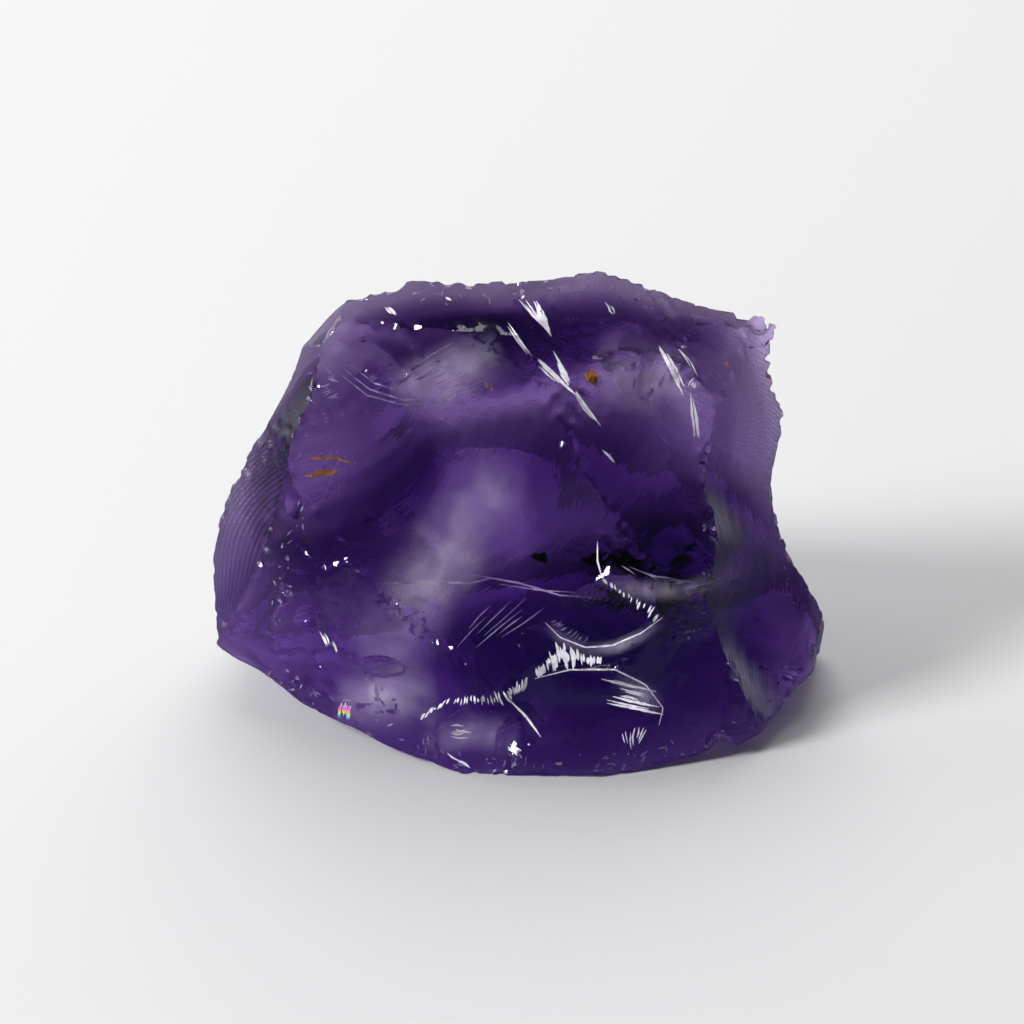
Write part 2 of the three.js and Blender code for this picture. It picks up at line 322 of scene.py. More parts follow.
class Stone:
    """The whole shape as a field: under zero inside the stone, over zero outside it."""

    BIN = 2.0  # chips are looked up by cubes of this size
    BIN_SHIFT, BIN_SPAN = 512, 1024

    def __init__(self, solid):
        self.normals, self.distances = hull_planes()
        self.scars = [Scar(i, *facts) for i, facts in enumerate(SCARS.values())]
        self.chip_centres, self.chip_radii, self.chip_frames = ridge_chips(solid)
        self.chip_bins = {}
        for i, (centre, radius) in enumerate(zip(self.chip_centres, self.chip_radii)):
            reach = CHIP_LONG[1] * radius
            first = np.floor((centre - reach) / self.BIN).astype(int)
            last = np.floor((centre + reach) / self.BIN).astype(int)
            for key in np.ndindex(*(last - first + 1)):
                self.chip_bins.setdefault(tuple(first + key), []).append(i)

    def plain(self, points):
        bent = points - bend(points)
        field = (bent @ self.normals.T - self.distances).max(axis=1)
        for scar in self.scars:
            np.maximum(field, scar.plain(bent)[0], out=field)
        return field

    def chips(self, points):
        field = np.full(len(points), DEEP)
        keys = np.floor(points / self.BIN).astype(int)
        x, y, z = (keys + self.BIN_SHIFT).T
        codes = (x * self.BIN_SPAN + y) * self.BIN_SPAN + z
        order = np.argsort(codes, kind="stable")
        starts = np.flatnonzero(np.diff(codes[order], prepend=-1))
        for group in np.split(order, starts[1:]):
            for i in self.chip_bins.get(tuple(keys[group[0]]), ()):
                local = (points[group] - self.chip_centres[i]) @ self.chip_frames[i]
                away = np.linalg.norm(local, axis=1)
                field[group] = np.maximum(field[group], self.chip_radii[i] * (1 - away))
        return field

    def full(self, points):
        """The field with all its relief, and the number of the scar that each point lies on."""
        bent = points - bend(points)
        first = (bent @ self.normals.T - self.distances).max(axis=1)
        second = np.full(len(points), DEEP)
        owner = np.full(len(points), -1)
        swell = SWELL * soft_noise(points, SWELL_WAVE, SEEDS["swell"])
        first += swell * np.clip(points[:, 2], 0, 1)
        for scar in self.scars:
            value, local = scar.plain(bent)
            near = value > first - RELIEF_NEAR
            value[near] += scar.relief(local[near])
            value += swell * np.clip(points[:, 2], 0, 1) * SCAR_SWELL
            owner = np.where(value > first, scar.number, owner)
            second = np.maximum(second, np.minimum(first, value))
            first = np.maximum(first, value)
        gap = (first - second) / EDGE_REACH
        wear = np.clip(soft_noise(points, EDGE_WAVE, SEEDS["edge"]) + EDGE_SHARE, 0, EDGE_MOST)
        first += EDGE_BITE * wear * np.exp(-gap * gap)
        first = np.maximum(first, self.chips(points))
        rest = BASE_LIFT * (1 + BASE_WAVER * soft_noise(points, BASE_WAVE, SEEDS["base"]))
        return np.maximum(first, rest - points[:, 2]), owner

    def field(self, points):
        return self.full(points)[0]


class Zone:
    """A darker growth zone sealed in the stone: a wavering tube that runs in from the broad face."""

    def __init__(self, stone, across, up, half_across, half_up, seed):
        self.stone, self.seed = stone, seed
        self.across, self.up = across, up
        self.half_across, self.half_up = half_across, half_up

    def field(self, points):
        across = (points[:, 0] - self.across) / self.half_across
        up = (points @ ZONE_UP - self.up) / self.half_up
        tube = (np.hypot(across, up) - 1) * min(self.half_across, self.half_up)
        tube += ZONE_WAVER * soft_noise(points, ZONE_WAVE, self.seed)
        return np.maximum(tube, self.stone.plain(points) + ZONE_INSET)

    plain = field


def slope_of(shape, points, step=0.02):
    sides = []
    for axis in np.eye(3) * step:
        sides.append(shape.field(points + axis) - shape.field(points - axis))
    slope = np.stack(sides, axis=1)
    return slope / np.maximum(np.linalg.norm(slope, axis=1), TINY)[:, None]


def shape_grid(shape, cell):
    """The field on a grid around the stone, with its relief where the surface is near."""
    margin = MARGIN_CELLS * cell
    start = low_corner - margin
    counts = np.ceil((high_corner + margin - start) / cell).astype(int) + 1
    values = np.empty(counts)
    ys, zs = np.meshgrid(np.arange(counts[1]), np.arange(counts[2]), indexing="ij")
    slab = np.stack([np.zeros(ys.size), ys.ravel(), zs.ravel()], axis=1)
    for i in range(counts[0]):
        points = start + (slab + (i, 0, 0)) * cell
        field = shape.plain(points)
        near = np.abs(field) < NEAR
        if near.any():
            field[near] = shape.field(points[near])
        values[i] = np.maximum(field, -points[:, 2]).reshape(counts[1:])
    return start, values


def settle(values):
    """Fills the grid's chequered squares, where the surface would touch itself along a line."""
    for _ in range(SETTLE_ROUNDS):
        settled = True
        for axis in range(3):
            u, v = np.eye(3, dtype=int)[(axis + 1) % 3], np.eye(3, dtype=int)[(axis + 2) % 3]
            rings = [np.zeros(3, int), u, u + v, v]
            size = np.array(values.shape) - u - v
            corner = [values[tuple(slice(o, o + n) for o, n in zip(ring, size))] for ring in rings]
            a, b, c, d = (value < 0 for value in corner)
            for index in np.argwhere((a == c) & (b == d) & (a != b)):
                spots = [tuple(index + ring) for ring in rings]
                outside = [spot for spot in spots if values[spot] >= 0]
                if len(outside) == 2:
                    values[min(outside, key=lambda spot: values[spot])] = JUST_INSIDE
                    settled = False
        if settled:
            break


def crossings(shape, start, values, cell):
    """Where grid lines pierce the surface: the four cells round each point, the points and slopes."""
    inside = values < 0
    found = []
    for axis in range(3):
        before = [slice(None)] * 3
        after = [slice(None)] * 3
        before[axis], after[axis] = slice(None, -1), slice(1, None)
        cut = inside[tuple(before)] != inside[tuple(after)]
        index = np.argwhere(cut)
        step = np.eye(3, dtype=int)[axis]
        a = values[tuple(index.T)]
        b = values[tuple((index + step).T)]
        low, high = np.zeros(len(index)), np.ones(len(index))
        share = a / (a - b)
        for _ in range(ROOT_ROUNDS):
            spot = start + (index + share[:, None] * step) * cell
            here = shape.field(spot)
            same = (here < 0) == (a < 0)
            low, high = np.where(same, share, low), np.where(same, high, share)
            a, b = np.where(same, here, a), np.where(same, b, here)
            share = low + (high - low) * np.clip(a / (a - b + ROOT_GUARD), *ROOT_ENDS)
        spot = start + (index + share[:, None] * step) * cell
        u, v = np.eye(3, dtype=int)[(axis + 1) % 3], np.eye(3, dtype=int)[(axis + 2) % 3]
        cells = np.stack([index - u - v, index - v, index, index - u], axis=1)
        leaving = inside[tuple(index.T)]
        cells[~leaving] = cells[~leaving][:, ::-1]
        found.append((cells, spot))
    cells = np.concatenate([c for c, _ in found])
    spots = np.concatenate([s for _, s in found])
    return cells, spots, slope_of(shape, spots)


def dual_mesh(shape, cell):
    """A shape's surface as vertices and four-sided faces, with its ridges kept sharp."""
    start, values = shape_grid(shape, cell)
    settle(values)
    cells, spots, slopes = crossings(shape, start, values, cell)
    codes = np.ravel_multi_index(cells.reshape(-1, 3).T, values.shape)
    names, corner = np.unique(codes, return_inverse=True)
    quads = corner.reshape(-1, 4)
    count = np.bincount(corner)

    def gather(amounts):
        return np.bincount(corner, np.repeat(amounts, 4), len(names))

    centre = np.stack([gather(spots[:, k]) / count for k in range(3)], axis=1)
    pull = np.einsum("ij,ij->i", slopes, spots)
    square = np.empty((len(names), 3, 3))
    for i in range(3):
        for j in range(3):
            square[:, i, j] = gather(slopes[:, i] * slopes[:, j])
    target = np.stack([gather(slopes[:, k] * pull) for k in range(3)], axis=1)
    rest = target - np.einsum("nij,nj->ni", square, centre)
    keep = CENTRE_PULL * np.eye(3)
    vertices = centre + np.linalg.solve(square + keep, rest[..., None])[..., 0]
    index = np.stack(np.unravel_index(names, values.shape), axis=1)
    cell_low = start + index * cell
    vertices = np.clip(vertices, cell_low, cell_low + cell)
    total = np.stack([gather(slopes[:, k]) for k in range(3)], axis=1)
    smooth = np.linalg.norm(total, axis=1) / count > FLAT_ENOUGH
    at = vertices[smooth]
    shift = np.clip(shape.field(at), -MOST_SHIFT, MOST_SHIFT)
    vertices[smooth] = at - slope_of(shape, at) * shift[:, None]
    vertices[:, 2] = np.maximum(vertices[:, 2], FLOOR_GAP)
    return vertices, quads


def shape_mesh(name, shape, cell):
    """A closed triangle mesh of a shape, without crumbs."""
    vertices, quads = dual_mesh(shape, cell)
    mesh = bpy.data.meshes.new(name)
    mesh.from_pydata((vertices * MM).tolist(), [], quads.tolist())
    tidy = bmesh.new()
    tidy.from_mesh(mesh)
    drop_crumbs(tidy)
    bmesh.ops.triangulate(tidy, faces=tidy.faces)
    tidy.to_mesh(mesh)
    tidy.free()
    mesh.shade_smooth()
    return mesh


def add_piece(name, mesh, material):
    mesh.materials.append(material)
    piece = bpy.data.objects.new(name, mesh)
    bpy.context.scene.collection.objects.link(piece)
    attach(piece, "root")
    return piece


def stone_mesh(stone):
    mesh = shape_mesh("amethyst_chunk", stone, CELL)
    mark_ripples(mesh, stone)
    mark_crust(mesh)
    mesh.set_sharp_from_angle(angle=SHARP_TURN)
    return mesh


def mark_ripples(mesh, stone):
    """Stores, at each face's corners, how many turns of fine ripple lie between it and the strike."""
    corners = np.empty(len(mesh.loops), int)
    mesh.loops.foreach_get("vertex_index", corners)
    spots = np.empty(len(mesh.vertices) * 3)
    mesh.vertices.foreach_get("co", spots)
    spots = spots.reshape(-1, 3) / MM
    faces = corners.reshape(-1, 3)
    owner = stone.full(spots[faces].mean(axis=1))[1]
    bent = spots - bend(spots)
    turn, depth = np.zeros(faces.shape), np.zeros(faces.shape)
    for scar in stone.scars:
        mine = owner == scar.number
        local = (bent[faces[mine]].reshape(-1, 3) - scar.centre) @ scar.axes
        far, bearing = scar.polar(local)
        wander = scar.wander(bearing, FINE_WANDER, FINE_LOBES)
        turn[mine] = ((far + wander) / FINE_WAVE).reshape(-1, 3)
        depth[mine] = scar.fine
    for name, amount in (("ripple_turn", turn), ("ripple_depth", depth)):
        mesh.attributes.new(name, "FLOAT", "CORNER").data.foreach_set("value", amount.ravel())


def mark_crust(mesh):
    """Stores how weathered the surface is: the back and the base are duller than the fresh front."""
    facing = np.empty(len(mesh.vertices) * 3)
    mesh.vertex_normals.foreach_get("vector", facing)
    facing = facing.reshape(-1, 3)
    hidden = np.maximum(facing[:, 1], -facing[:, 2])
    crust = np.clip(hidden / CRUST_TURN, 0, 1)
    mesh.attributes.new("crust", "FLOAT", "POINT").data.foreach_set("value", crust)


def drop_crumbs(mesh):
    """Keeps the largest connected part."""
    left, groups = set(mesh.verts), []
    while left:
        seed = left.pop()
        group, edge = {seed}, [seed]
        while edge:
            vertex = edge.pop()
            for link in vertex.link_edges:
                other = link.other_vert(vertex)
                if other not in group:
                    group.add(other)
                    edge.append(other)
        left -= group
        groups.append(group)
    largest = max(groups, key=len)
    loose = [v for group in groups if group is not largest for v in group]
    bmesh.ops.delete(mesh, geom=loose, context="VERTS")


VIOLET = (0.27, 0.0, 0.51, 1)  # what quartz of this colour lets through
VIOLET_DENSITY = 150
QUARTZ_IOR = 1.545
FRESH_ROUGH, CRUST_ROUGH = 0.05, 0.7
FRESH_TINT, CRUST_TINT = (0.97, 0.94, 1.0, 1), (0.38, 0.25, 0.6, 1)
# White glints painted on ridges and rims, partly the real whitening of bruised edges
GLINT_AND_BRUISING_COLOURS = (0.95, 0.94, 0.97), (0.7, 0.66, 0.78)  # the lighter and the darker blotches
# Pale lilac highlights painted on fracture steps, also the colour of the pale chips on worn edges
HIGHLIGHT_AND_CHIP_COLOURS = (0.26, 0.2, 0.38), (0.09, 0.06, 0.16)
# Pale light painted where light shines through the stone
THROUGH_LIGHT_COLOURS = (0.8, 0.7, 0.9), (0.5, 0.38, 0.68)
STAIN_COLOURS = (0.5, 0.2, 0.03), (0.12, 0.04, 0.02)
BLOTCHES = {"glint_and_bruising": 4000, "highlight_and_chip": 2500, "through_light_sheet": 700, "stain": 5000}  # to the metre
BLOTCH_DETAIL, BLOTCH_RANGE = 3, (0.35, 0.65)
FLAKE_ROUGH, THROUGH_LIGHT_ROUGH, STAIN_ROUGH, CRACK_ROUGH = 0.35, 0.5, 0.7, 0.2
STREAK_SCALE, STREAK_DETAIL, STREAK_TWIST = 260, 5, 1.5
STREAK_RANGE, LIGHT_COVER_RANGE = (0.3, 0.7), (0.1, 0.4)
# Rainbow interference colours painted on the crack
FIRST_BAND, LAST_BAND = (0.05, 0.1, 0.8), (0.9, 0.85, 0.95)
BANDS = {0.3: (0.2, 0.75, 0.5), 0.5: (0.9, 0.45, 0.05), 0.7: (0.6, 0.1, 0.6)}  # by share of the way up


def new_material(name):
    """A material, its nodes and its shader."""
    material = bpy.data.materials.new(name)
    material.use_nodes = True
    return material, material.node_tree, material.node_tree.nodes["Principled BSDF"]


def add_attribute(tree, name):
    node = tree.nodes.new("ShaderNodeAttribute")
    node.attribute_name = name
    return node.outputs["Fac"]


def add_range(tree, source, given, wanted):
    """Maps a value from one range to another."""
    node = tree.nodes.new("ShaderNodeMapRange")
    node.inputs["From Min"].default_value, node.inputs["From Max"].default_value = given
    node.inputs["To Min"].default_value, node.inputs["To Max"].default_value = wanted
    tree.links.new(source, node.inputs["Value"])
    return node.outputs["Result"]


def add_product(tree, first, second):
    node = tree.nodes.new("ShaderNodeMath")
    node.operation = "MULTIPLY"
    tree.links.new(first, node.inputs[0])
    tree.links.new(second, node.inputs[1])
    return node.outputs["Value"]


def add_absorption(tree, density):
    inside = tree.nodes.new("ShaderNodeVolumeAbsorption")
    inside.inputs["Color"].default_value = VIOLET
    inside.inputs["Density"].default_value = density
    tree.links.new(inside.outputs["Volume"], tree.nodes["Material Output"].inputs["Volume"])


def crystal_material():
    """Clear violet quartz, glassy where it is fresh and duller where it is weathered."""
    material, tree, shader = new_material("amethyst_crystal")
    shader.inputs["IOR"].default_value = QUARTZ_IOR
    shader.inputs["Transmission Weight"].default_value = 1.0
    add_absorption(tree, VIOLET_DENSITY)
    crust = add_attribute(tree, "crust")
    dull = add_range(tree, crust, (0, 1), (FRESH_ROUGH, CRUST_ROUGH))
    tree.links.new(dull, shader.inputs["Roughness"])
    tint = tree.nodes.new("ShaderNodeMix")
    tint.data_type = "RGBA"
    tint.inputs["A"].default_value = FRESH_TINT
    tint.inputs["B"].default_value = CRUST_TINT
    tree.links.new(crust, tint.inputs["Factor"])
    tree.links.new(tint.outputs["Result"], shader.inputs["Base Color"])
    tree.links.new(tint.outputs["Result"], shader.inputs["Specular Tint"])

    angle = tree.nodes.new("ShaderNodeMath")
    angle.operation = "MULTIPLY"
    angle.inputs[1].default_value = math.tau
    tree.links.new(add_attribute(tree, "ripple_turn"), angle.inputs[0])
    wave = tree.nodes.new("ShaderNodeMath")
    wave.operation = "SINE"
    tree.links.new(angle.outputs["Value"], wave.inputs[0])
    height = add_product(tree, wave.outputs["Value"], add_attribute(tree, "ripple_depth"))
    bump = tree.nodes.new("ShaderNodeBump")
    bump.inputs["Distance"].default_value = FINE_DEPTH * MM
    tree.links.new(height, bump.inputs["Height"])
    tree.links.new(bump.outputs["Normal"], shader.inputs["Normal"])
    return material


def zone_material(name, density):
    """Adds colour to what it holds, with no surface of its own to be seen."""
    material, tree, shader = new_material(name)
    shader.inputs["Base Color"].default_value = (1, 1, 1, 1)
    shader.inputs["Roughness"].default_value = 0
    shader.inputs["IOR"].default_value = 1.0
    shader.inputs["Transmission Weight"].default_value = 1.0
    add_absorption(tree, density)
    return material


def mottle_group():
    """Blotches of two colours, for painted glints (partly real bruising), painted highlights, painted
    light through the stone and rust stains.
    """
    group = bpy.data.node_groups.new("mottle", "ShaderNodeTree")
    for name in ("Light", "Dark"):
        group.interface.new_socket(name, in_out="INPUT", socket_type="NodeSocketColor")
    group.interface.new_socket("Blotch Scale", in_out="INPUT", socket_type="NodeSocketFloat")
    group.interface.new_socket("Color", in_out="OUTPUT", socket_type="NodeSocketColor")
    given = group.nodes.new("NodeGroupInput")
    result = group.nodes.new("NodeGroupOutput")
    spots = group.nodes.new("ShaderNodeTexCoord")
    noise = group.nodes.new("ShaderNodeTexNoise")
    noise.inputs["Detail"].default_value = BLOTCH_DETAIL
    group.links.new(spots.outputs["Object"], noise.inputs["Vector"])
    group.links.new(given.outputs["Blotch Scale"], noise.inputs["Scale"])
    mix = group.nodes.new("ShaderNodeMix")
    mix.data_type = "RGBA"
    spread = add_range(group, noise.outputs["Fac"], BLOTCH_RANGE, (0, 1))
    group.links.new(spread, mix.inputs["Factor"])
    group.links.new(given.outputs["Light"], mix.inputs["A"])
    group.links.new(given.outputs["Dark"], mix.inputs["B"])
    group.links.new(mix.outputs["Result"], result.inputs["Color"])
    return group


def flake_material(name, mottle, colours, blotch_scale, roughness):
    material, tree, shader = new_material(name)
    shader.inputs["Roughness"].default_value = roughness
    blotches = tree.nodes.new("ShaderNodeGroup")
    blotches.node_tree = mottle
    light, dark = colours
    blotches.inputs["Light"].default_value = (*light, 1)
    blotches.inputs["Dark"].default_value = (*dark, 1)
    blotches.inputs["Blotch Scale"].default_value = blotch_scale
    tree.links.new(blotches.outputs["Color"], shader.inputs["Base Color"])
    return material


def rainbow_material():
    """Bands of colour across a crack that is thinner than a wave of light is long: its interference
    colours are painted into the base colour.
    """
    material, tree, shader = new_material("rainbow_crack")
    shader.inputs["Roughness"].default_value = CRACK_ROUGH
    spots = tree.nodes.new("ShaderNodeTexCoord")
    parts = tree.nodes.new("ShaderNodeSeparateXYZ")
    ramp = tree.nodes.new("ShaderNodeValToRGB")
    ramp.color_ramp.elements[0].color = (*FIRST_BAND, 1)
    ramp.color_ramp.elements[1].color = (*LAST_BAND, 1)
    for share, colour in BANDS.items():
        ramp.color_ramp.elements.new(share).color = (*colour, 1)
    tree.links.new(spots.outputs["Generated"], parts.inputs["Vector"])
    tree.links.new(parts.outputs["Z"], ramp.inputs["Fac"])
    tree.links.new(ramp.outputs["Color"], shader.inputs["Base Color"])
    return material


def through_light_material(mottle):
    """Painted pale light where light shines through the stone: a streaked sheet, clear towards its rim.
    """
    material = flake_material("painted_through_light", mottle, THROUGH_LIGHT_COLOURS, BLOTCHES["through_light_sheet"], THROUGH_LIGHT_ROUGH)
    tree = material.node_tree
    spots = tree.nodes.new("ShaderNodeTexCoord")
    streaks = tree.nodes.new("ShaderNodeTexNoise")
    streaks.inputs["Scale"].default_value = STREAK_SCALE
    streaks.inputs["Detail"].default_value = STREAK_DETAIL
    streaks.inputs["Distortion"].default_value = STREAK_TWIST
    tree.links.new(spots.outputs["Object"], streaks.inputs["Vector"])
    light_cover = add_range(tree, streaks.outputs["Fac"], STREAK_RANGE, LIGHT_COVER_RANGE)
    cover = add_product(tree, light_cover, add_attribute(tree, "through_light_strength"))
    tree.links.new(cover, tree.nodes["Principled BSDF"].inputs["Alpha"])
    return material


def skin_tree(mesh):
    """What a line of sight is tested against, in millimetres."""
    corners = [vertex.co / MM for vertex in mesh.vertices]
    faces = [tuple(face.vertices) for face in mesh.polygons]
    return BVHTree.FromPolygons(corners, faces)


def trail(line, step, least):
    """Even steps along a line of pixels: shares of its length, spots, and the way across at each."""
    line = np.array(line, float)
    along = np.concatenate([[0], np.cumsum(np.linalg.norm(np.diff(line, axis=0), axis=1))])
    shares = np.linspace(0, 1, max(least, int(along[-1] / step)) + 1)
    path = np.stack([np.interp(shares * along[-1], along, line[:, k]) for k in range(2)], axis=1)
    way = np.gradient(path, axis=0)
    side = np.stack([-way[:, 1], way[:, 0]], axis=1)
    return shares, path, side / np.linalg.norm(side, axis=1)[:, None]


class Flakes:
    """Thin closed meshes that lie in the stone's skin, where the photograph shows them."""

    PROUD, SUNK = 0.015, 0.03
    EYE_DISTANCE = 100.0  # far enough to be outside the stone
    SEARCH_STEP = 2.0  # pixels
    SLIVER_STEP, SLIVER_LEAST = 2.5, 3  # pixels, and the fewest steps
    VEIL_STEP, VEIL_LEAST = 6.0, 6
    TIP, FULLNESS, RAGGED = 0.02, 0.7, 0.3
    STROKE_PLACE, STROKE_START, STROKE_END = (0.2, 0.8), (-0.1, 0.4), (0.6, 1.1)
    STROKE_SWAY, STROKE_WIDTH = 0.8, (0.5, 1.4)
    SPECK_REACH, SPECK_WIDTH = (1.0, 4.0), (0.6, 2.0)

    def __init__(self, tree, seed):
        self.tree = tree
        self.draw = np.random.default_rng(seed)
        self.vertices, self.faces, self.strengths = [], [], []

    def skin(self, pixel):
        """The points just over and under the skin that a pixel shows, or the skin nearer the middle."""
        pixel = np.array(pixel, float)
        spot = None
        while spot is None:
            across, down = (pixel - PHOTO_PIXELS / 2) / PIXELS_PER_MM
            start = AIM + across * np.array([1, 0, 0]) - down * VIEW_UP + VIEW_BACK * self.EYE_DISTANCE
            spot, normal, _, _ = self.tree.ray_cast(Vector(start), Vector(-VIEW_BACK))
            pixel += unit(STONE_MIDDLE - pixel) * self.SEARCH_STEP
        return np.array(spot + normal * self.PROUD), np.array(spot - normal * self.SUNK)

    def sliver(self, line, width):
        """A sliver along a line of pixels, widest in the middle and pointed at both ends."""
        shares, path, side = trail(line, self.SLIVER_STEP, self.SLIVER_LEAST)
        swell = np.sin(np.pi * np.clip(shares, self.TIP, 1 - self.TIP)) ** self.FULLNESS
        first = len(self.vertices)
        for spot, across, full in zip(path, side, swell):
            reach = 0.5 * width * full * (1 + self.RAGGED * self.draw.uniform(-1, 1, 2))
            left_over, left_under = self.skin(spot + across * reach[0])
            right_over, right_under = self.skin(spot - across * reach[1])
            self.vertices += [left_over, right_over, right_under, left_under]
        last = len(self.vertices) - 4
        for i in range(first, last, 4):
            for k in range(4):
                a, b = i + k, i + (k + 1) % 4
                self.faces.append((a, b, b + 4, a + 4))
        self.faces.append((first + 3, first + 2, first + 1, first))
        self.faces.append((last, last + 1, last + 2, last + 3))

    def brush(self, starts, ends, count, width):
        """Strokes side by side, from along one line of two pixels to along another."""
        starts, ends = np.array(starts, float), np.array(ends, float)
        for i in range(count):
            share = (i + self.draw.uniform(*self.STROKE_PLACE)) / count
            start = starts[0] + (starts[1] - starts[0]) * share
            end = ends[0] + (ends[1] - ends[0]) * share
            early = self.draw.uniform(*self.STROKE_START)
            late = self.draw.uniform(*self.STROKE_END)
            sway = self.draw.normal(scale=self.STROKE_SWAY, size=2)
            middle = start + (end - start) * (early + late) / 2 + sway
            stroke = [start + (end - start) * early, middle, start + (end - start) * late]
            self.sliver(stroke, width * self.draw.uniform(*self.STROKE_WIDTH))

    def specks(self, line, count, spread):
        """Short pale chips strewn along a line of pixels."""
        line = np.array(line, float)
        for _ in range(count):
            piece = self.draw.integers(len(line) - 1)
            spot = line[piece] + (line[piece + 1] - line[piece]) * self.draw.random()
            spot += self.draw.normal(scale=spread, size=2)
            reach = self.draw.uniform(*self.SPECK_REACH) * unit(self.draw.normal(size=2))
            self.sliver([spot - reach, spot + reach], self.draw.uniform(*self.SPECK_WIDTH))

    def through_light_sheet(self, line, width):
        """A broad soft-edged sheet along a line of pixels, thinning out towards its rim."""
        shares, path, side = trail(line, self.VEIL_STEP, self.VEIL_LEAST)
        rows = len(shares) - 1
        columns = max(self.VEIL_LEAST, int(width / self.VEIL_STEP))
        over, under = {}, {}
        for i, j in np.ndindex(rows + 1, columns + 1):
            aside = 2 * j / columns - 1
            above, below = self.skin(path[i] + side[i] * aside * width / 2)
            over[i, j] = under[i, j] = len(self.vertices)
            self.vertices.append(above)
            self.strengths.append(math.cos(aside * math.pi / 2) ** 2 * math.sin(math.pi * shares[i]))
            if 0 < i < rows and 0 < j < columns:
                under[i, j] = len(self.vertices)
                self.vertices.append(below)
                self.strengths.append(0)
        for i, j in np.ndindex(rows, columns):
            ring = [(i, j), (i + 1, j), (i + 1, j + 1), (i, j + 1)]
            self.faces.append([over[spot] for spot in ring])
            self.faces.append([under[spot] for spot in reversed(ring)])

    def mesh(self, name):
        mesh = bpy.data.meshes.new(name)
        mesh.from_pydata((np.array(self.vertices) * MM).tolist(), [], self.faces)
        if self.strengths:
            strengths = mesh.attributes.new("through_light_strength", "FLOAT", "POINT")
            strengths.data.foreach_set("value", self.strengths)
        tidy = bmesh.new()
        tidy.from_mesh(mesh)
        bmesh.ops.recalc_face_normals(tidy, faces=tidy.faces)
        tidy.to_mesh(mesh)
        tidy.free()
        return mesh


# Painted white glints on ridges and torn rims, partly the real whitening of bruised edges: lines of
# photograph pixels, how many strokes, and their width in pixels
GLINT_AND_BRUISING_BRUSHES = (
    (((519, 304), (535, 298)), ((549, 334), (551, 338)), 7, 2.6),
    (((505, 326), (509, 324)), ((528, 358), (532, 357)), 3, 2.4),
    (((536, 366), (542, 361)), ((567, 393), (573, 393)), 5, 2.8),
    (((550, 352), (554, 351)), ((568, 388), (573, 391)), 3, 2.4),
    (((572, 394), (577, 393)), ((600, 430), (603, 430)), 3, 2.0),
    (((598, 447), (600, 446)), ((612, 462), (614, 463)), 2, 1.5),
    (((652, 340), (657, 338)), ((679, 392), (685, 390)), 4, 2.6),
    (((684, 391), (691, 392)), ((694, 376), (698, 383)), 4, 1.8),
    (((677, 350), (679, 350)), ((694, 375), (696, 376)), 2, 1.2),
    (((688, 396), (693, 396)), ((692, 438), (700, 441)), 4, 1.8),
    (((534, 669), (557, 642)), ((537, 677), (562, 668)), 10, 2.8),
    (((558, 642), (602, 657)), ((562, 668), (601, 664)), 13, 3.4),
    (((530, 674), (502, 691)), ((525, 688), (509, 702)), 10, 2.2),
    (((500, 691), (455, 697)), ((505, 704), (452, 704)), 15, 1.8),
    (((450, 698), (426, 711)), ((447, 704), (420, 720)), 9, 1.8),
    (((597, 573), (662, 611)), ((603, 582), (654, 622)), 14, 2.2),
    (((600, 673), (612, 706)), ((652, 688), (663, 716)), 8, 2.0),
    (((618, 728), (652, 722)), ((626, 752), (640, 742)), 7, 1.4),
    (((452, 724), (446, 738)), ((470, 724), (474, 740)), 5, 1.4),
    (((445, 752), (460, 760)), ((462, 764), (470, 768)), 4, 1.6),
    (((500, 746), (512, 744)), ((516, 756), (526, 752)), 4, 2.0),
    (((383, 307), (388, 306)), ((394, 317), (398, 316)), 3, 1.6),
    (((604, 304), (608, 302)), ((612, 319), (615, 317)), 3, 1.4),
    (((318, 632), (332, 636)), ((326, 650), (340, 654)), 5, 2.0),
)
GLINT_AND_BRUISING_LINES = (
    ([(597, 541), (597, 560), (601, 576)], 1.8),
    ([(508, 698), (525, 715), (541, 737)], 2.4),
    ([(535, 678), (570, 669), (615, 669), (645, 684), (663, 708), (659, 725)], 1.4),
    ([(545, 622), (560, 637), (585, 647), (612, 645), (640, 633), (662, 617)], 1.6),
    ([(446, 299), (452, 302)], 3.0),
)
# Worn edges: lines of photograph pixels, how many chips, and how far they stray
WORN_EDGES = (
    ([(272, 672), (300, 694), (345, 718), (420, 742)], 34, 8),
    ([(420, 742), (465, 762), (540, 764), (600, 766), (640, 756)], 40, 6),
    ([(640, 756), (700, 745), (740, 732), (790, 702)], 22, 5),
    ([(318, 335), (312, 400), (292, 530), (268, 645)], 46, 4),
    ([(350, 304), (460, 296), (540, 297), (600, 288)], 26, 5),
    ([(600, 288), (650, 300), (720, 322), (770, 348)], 26, 6),
    ([(700, 440), (712, 470), (704, 520), (700, 600), (690, 640)], 22, 4),
    ([(775, 480), (782, 560), (800, 620)], 14, 2),
)
# Painted highlights as paler wisps, where fine steps of the fracture catch the light
HIGHLIGHT_BRUSHES = (
    (((398, 376), (428, 410)), ((450, 343), (492, 386)), 10, 0.8),
    (((446, 650), (500, 640)), ((498, 592), (544, 612)), 7, 0.8),
    (((322, 364), (330, 380)), ((330, 372), (342, 384)), 5, 2.0),
    (((318, 388), (334, 402)), ((330, 384), (346, 396)), 6, 2.0),
    (((545, 622), (585, 646)), ((556, 618), (590, 638)), 9, 1.2),
    (((612, 560), (690, 590)), ((640, 580), (724, 580)), 7, 1.4),
)
HIGHLIGHT_LINES = (
    ([(380, 583), (440, 582), (470, 583), (492, 578)], 1.8),
    ([(470, 574), (520, 583), (560, 595), (592, 597)], 1.8),
    ([(500, 584), (540, 590), (575, 592)], 1.2),
    ([(345, 370), (370, 390), (405, 401), (432, 398)], 1.8),
    ([(340, 374), (368, 396), (405, 406), (430, 403)], 1.4),
    ([(352, 366), (375, 384), (408, 394)], 1.2),
)
